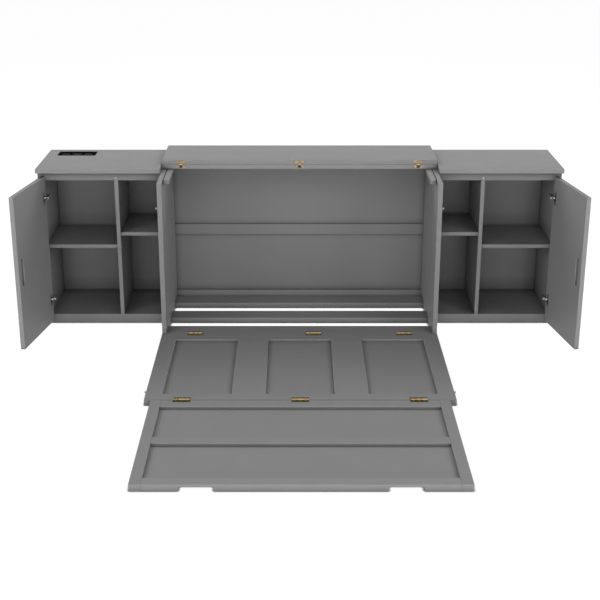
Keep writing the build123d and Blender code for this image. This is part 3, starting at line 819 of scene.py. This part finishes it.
# middle and size of each well in an outlet, and of each port in the middle plate
OUTLET_WELLS = (
    (-6.4 * MM, 4.0 * MM, 2.4 * MM, 8.4 * MM),
    (6.4 * MM, 4.0 * MM, 2.2 * MM, 6.8 * MM),
    (0.0, -8.0 * MM, 5.0 * MM, 5.0 * MM),
)
PORT_WELLS = (
    (6.0 * MM, -8.0 * MM, 14.0 * MM, 6.6 * MM),
    (6.0 * MM, 8.0 * MM, 14.0 * MM, 6.6 * MM),
)
PORT_TONGUE = (10.0 * MM, 1.8 * MM, 1.6 * MM)
TONGUE_LIFT, TONGUE_ROUND = 0.3 * MM, 0.25 * MM
SHELL_GAP = 0.5 * MM
SHELL_WALL = 1.4 * MM
SHELL_LIFT, SHELL_FLOOR = 0.8 * MM, 0.2 * MM


def moulded_black(name, dark, pale, roughness, shine):
    # Moulded plastic with a fine spark-eroded grain
    made, tree, shader, coords = finish_tree(name)
    grain = speckle(tree, coords, MOULD_GRAIN, detail=2.0)
    tree.links.new(blended(tree, grain, dark, pale), shader.inputs["Base Color"])
    rough = spread(tree, grain, NOISE_LOW, NOISE_HIGH, *roughness)
    tree.links.new(rough, shader.inputs["Roughness"])
    relief(tree, shader, grain, MOULD_STRENGTH, MOULD_DEEP)
    shader.inputs["Specular IOR Level"].default_value = shine
    return made


def plate_faces(bm, middle, size):
    # The faces of one plate among several
    return [face for face in bm.faces if (centre(face) - middle).xy.length < max(size)]


def level_faces(bm, middle, size, level):
    # What is left of a plate's sunk face
    return [face for face in plate_faces(bm, middle, size) if abs(centre(face).z - level) < TOUCH]


def welled_plate(bm, middle, size, wells):
    # A rounded plate with a raised rim and square wells sunk in it
    edges = edges_at(block(bm, middle, size))
    uprights = [edge for edge in edges if abs(edge.verts[0].co.z - edge.verts[1].co.z) > MM]
    round_over(bm, uprights, PLATE_CORNER, 5)
    top = max(plate_faces(bm, middle, size), key=lambda face: centre(face).z)
    bmesh.ops.inset_region(bm, faces=[top], thickness=PLATE_RIM, depth=-RIM_PROUD)
    level = centre(top).z
    for x, y, wide, tall in wells:
        for spot, across in (
            ((x - wide / 2, y, 0), (1, 0, 0)),
            ((x + wide / 2, y, 0), (1, 0, 0)),
            ((x, y - tall / 2, 0), (0, 1, 0)),
            ((x, y + tall / 2, 0), (0, 1, 0)),
        ):
            field = with_rims(level_faces(bm, middle, size, level))
            plane = middle + Vector(spot)
            bmesh.ops.bisect_plane(bm, geom=field, plane_co=plane, plane_no=across)
    for x, y, wide, tall in wells:
        inside = []
        for face in level_faces(bm, middle, size, level):
            off = centre(face) - middle - Vector((x, y, 0))
            if abs(off.x) < wide / 2 and abs(off.y) < tall / 2:
                inside.append(face)
        bmesh.ops.inset_region(bm, faces=inside, thickness=WELL_DRAFT, depth=-WELL_DEEP)


black_case = moulded_black("black_case", BLACK, BLACK_PALE, BLACK_ROUGH, BLACK_SHINE)
black_plate = moulded_black("black_plate", PLATE_BLACK, PLATE_BLACK_PALE, PLATE_ROUGH, PLATE_SHINE)
dress("charging_housing", black_case, UNIT_ARRIS)
insert_low, insert_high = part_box("charging_inserts")
insert_middle = (insert_low + insert_high) / 2
bm = bmesh.new()
outlet_step = (insert_high.x - insert_low.x - OUTLET_SIZE[0]) / 2
for step in (-outlet_step, outlet_step):
    welled_plate(bm, insert_middle + Vector((step, 0, 0)), OUTLET_SIZE, OUTLET_WELLS)
welled_plate(bm, insert_middle, PORT_PLATE_SIZE, PORT_WELLS)
for x, y, *_ in PORT_WELLS:
    place = insert_middle + Vector((x, y, 0))
    place.z = insert_low.z + PORT_TONGUE[2] / 2 + TONGUE_LIFT
    round_over(bm, edges_at(block(bm, place, PORT_TONGUE)), TONGUE_ROUND, 2)
charging_plates = piece_from(bm, "charging_plates", black_plate, "cabinet")
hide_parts("charging_inserts")
bm = bmesh.new()
for x, y, wide, tall in PORT_WELLS:
    size = (wide - 2 * SHELL_GAP, tall - 2 * SHELL_GAP, WELL_DEEP)
    place = insert_middle + Vector((x, y, 0))
    place.z = insert_low.z + SHELL_LIFT + WELL_DEEP / 2
    mouth = max(faces_at(block(bm, place, size)), key=lambda face: centre(face).z)
    bmesh.ops.inset_region(bm, faces=[mouth], thickness=SHELL_WALL)
    drawn_out(bm, mouth, (0, 0, SHELL_FLOOR - WELL_DEEP))
piece_from(bm, "charging_port_shells", nickel, "cabinet")
# A thin flange round the tray covers the cut edge of the opening
FLANGE_WIDE = 7.0 * MM
FLANGE_OUT = Vector((2.5, 4.0, 0.0)) * MM
FLANGE_SHIFT = Vector((2.0, 0.0, 0.0)) * MM
FLANGE_THICK = 1.2 * MM
FLANGE_ARRIS = 0.3 * MM
unit_low, unit_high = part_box("charging_housing")
flange_size = unit_high - unit_low + 2 * FLANGE_OUT
flange_middle = (unit_low + unit_high) / 2 + FLANGE_SHIFT
flange_middle.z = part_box("left_top")[1].z + FLANGE_THICK
bm = bmesh.new()
bmesh.ops.create_grid(bm, x_segments=1, y_segments=1, size=0.5)
bmesh.ops.scale(bm, verts=bm.verts, vec=(flange_size.x, flange_size.y, 1))
bmesh.ops.translate(bm, verts=bm.verts, vec=flange_middle)
middle = bm.faces[:]
bmesh.ops.inset_region(bm, faces=middle, thickness=FLANGE_WIDE, use_boundary=True)
bmesh.ops.delete(bm, geom=middle, context="FACES")
bmesh.ops.solidify(bm, geom=bm.faces[:], thickness=FLANGE_THICK)
flange = piece_from(bm, "charging_flange", black_case, "cabinet")
ease(flange, FLANGE_ARRIS)


# ---- Floor and background
# A plain white floor under a white surround. What the camera or a reflection sees of them is white,
# with a painted contact shadow where boards stand on it and a faint real shadow besides.
FLOOR_SIZE = 60.0
FLOOR_DROP = 0.5 * MM
FLOOR_WHITE = (0.80, 0.80, 0.80, 1.0)
FLOOR_SEEN = (0.12, 0.12, 0.12, 1.0)
FLOOR_ROUGH = 0.9
FLOOR_GLOW = 0.985
# A faint glow that the floor gives the object from below, as painted light
FLOOR_PAINTED_GLOW = 0.19
CONTACT_REACH = 16.0 * MM
CONTACT_DEEP, CONTACT_CLEAR = 0.5, 0.9
CONTACT_GLOW = 0.03
WHITE = (1.0, 1.0, 1.0, 1.0)


def seen_ray(tree):
    # 1 for a ray from the camera, from a reflection or through glass
    path = tree.nodes.new("ShaderNodeLightPath")
    total = path.outputs["Is Camera Ray"]
    for name in ("Is Glossy Ray", "Is Transmission Ray"):
        total = larger(tree, total, path.outputs[name])
    return total


floor_finish, tree, shader, _ = finish_tree("white_floor")
shader.inputs["Roughness"].default_value = FLOOR_ROUGH
shader.inputs["Specular IOR Level"].default_value = 0.0
shader.inputs["Emission Color"].default_value = WHITE
# Painted contact shadow: the floor's white glow fades where boards stand on it
painted_contact_shadow = openness(tree, CONTACT_REACH)
painted_contact_shadow = spread(tree, painted_contact_shadow, CONTACT_DEEP, CONTACT_CLEAR, CONTACT_GLOW, FLOOR_GLOW)
seen = seen_ray(tree)
tree.links.new(blended(tree, seen, FLOOR_WHITE, FLOOR_SEEN), shader.inputs["Base Color"])
glow = tree.nodes.new("ShaderNodeMix")
glow.inputs["A"].default_value = FLOOR_PAINTED_GLOW
tree.links.new(seen, glow.inputs["Factor"])
tree.links.new(painted_contact_shadow, glow.inputs["B"])
tree.links.new(glow.outputs["Result"], shader.inputs["Emission Strength"])
bm = bmesh.new()
bmesh.ops.create_grid(bm, x_segments=1, y_segments=1, size=FLOOR_SIZE / 2)
bmesh.ops.translate(bm, verts=bm.verts, vec=(0, 0, -FLOOR_DROP))
floor_mesh = bpy.data.meshes.new("floor")
bm.to_mesh(floor_mesh)
bm.free()
floor_mesh.materials.append(floor_finish)
floor = bpy.data.objects.new("floor", floor_mesh)
bpy.context.scene.collection.objects.link(floor)
floor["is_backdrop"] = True

world = bpy.data.worlds.new("surround")
bpy.context.scene.world = world
world.use_nodes = True
sky = world.node_tree
white = sky.nodes["Background"]
white.inputs["Color"].default_value = WHITE
sky.links.new(seen_ray(sky), white.inputs["Strength"])


# ---- Studio light
# Large soft lamps all round: a low bank and a high one in front, two behind, a
# pair on each side, and one over the floor in front that bounces off it.
LAMPS = {
    # place, aim, width and height, watts, cone in degrees
    "front_low": ((0.0, -9.0, 0.9), (0.0, 0.3, 0.6), (9.0, 1.6), 207.0, 180.0),
    "front_high": ((0.0, -5.0, 5.5), (0.0, 0.3, 0.4), (7.0, 4.0), 50.0, 180.0),
    "back_low": ((0.0, 3.6, 3.4), (0.0, 0.6, 1.0), (8.0, 2.0), 27.0, 180.0),
    "back_high": ((0.0, 4.0, 6.0), (0.0, 0.0, 0.3), (9.0, 4.0), 142.0, 180.0),
    "left_front": ((-6.0, -4.0, 4.0), (0.0, 0.3, 0.4), (4.0, 3.0), 158.0, 180.0),
    "right_front": ((6.0, -4.0, 4.0), (0.0, 0.3, 0.4), (4.0, 3.0), 158.0, 180.0),
    "left_back": ((-6.0, 4.0, 4.0), (0.0, 0.0, 0.4), (4.0, 3.0), 135.0, 180.0),
    "right_back": ((6.0, 4.0, 4.0), (0.0, 0.0, 0.4), (4.0, 3.0), 135.0, 180.0),
    "floor_front": ((0.0, -3.5, 1.0), (0.0, -3.5, 0.0), (9.0, 3.4), 89.0, 60.0),
}
for name, (place, aim, size, watts, cone) in LAMPS.items():
    light = bpy.data.lights.new(name, "AREA")
    light.shape = "RECTANGLE"
    light.size, light.size_y = size
    light.energy = watts
    light.spread = math.radians(cone)
    lamp = bpy.data.objects.new(name, light)
    lamp.location = place
    lamp.rotation_euler = (Vector(aim) - Vector(place)).to_track_quat("-Z", "Y").to_euler()
    lamp.visible_camera = False
    lamp.visible_glossy = False
    bpy.context.scene.collection.objects.link(lamp)


# ---- Camera
# A view from in front and above, tilted down, at the photograph's distance and
# focal length, with the shift that its framing has.
CAMERA_AT = (-0.03096, -5.92517, 2.68636)
CAMERA_DOWN = 19.36
CAMERA_LENS = 70.685
CAMERA_SENSOR = 36.0
CAMERA_SHIFT = (0.00943, -0.04598)
camera_data = bpy.data.cameras.new("camera")
camera_data.sensor_width = CAMERA_SENSOR
camera_data.lens = CAMERA_LENS
camera_data.shift_x, camera_data.shift_y = CAMERA_SHIFT
camera = bpy.data.objects.new("camera", camera_data)
camera.location = CAMERA_AT
camera.rotation_euler = (math.radians(90.0 - CAMERA_DOWN), 0.0, 0.0)
bpy.context.scene.collection.objects.link(camera)
bpy.context.scene.camera = camera
bpy.context.scene.view_settings.view_transform = "Standard"

low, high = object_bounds()
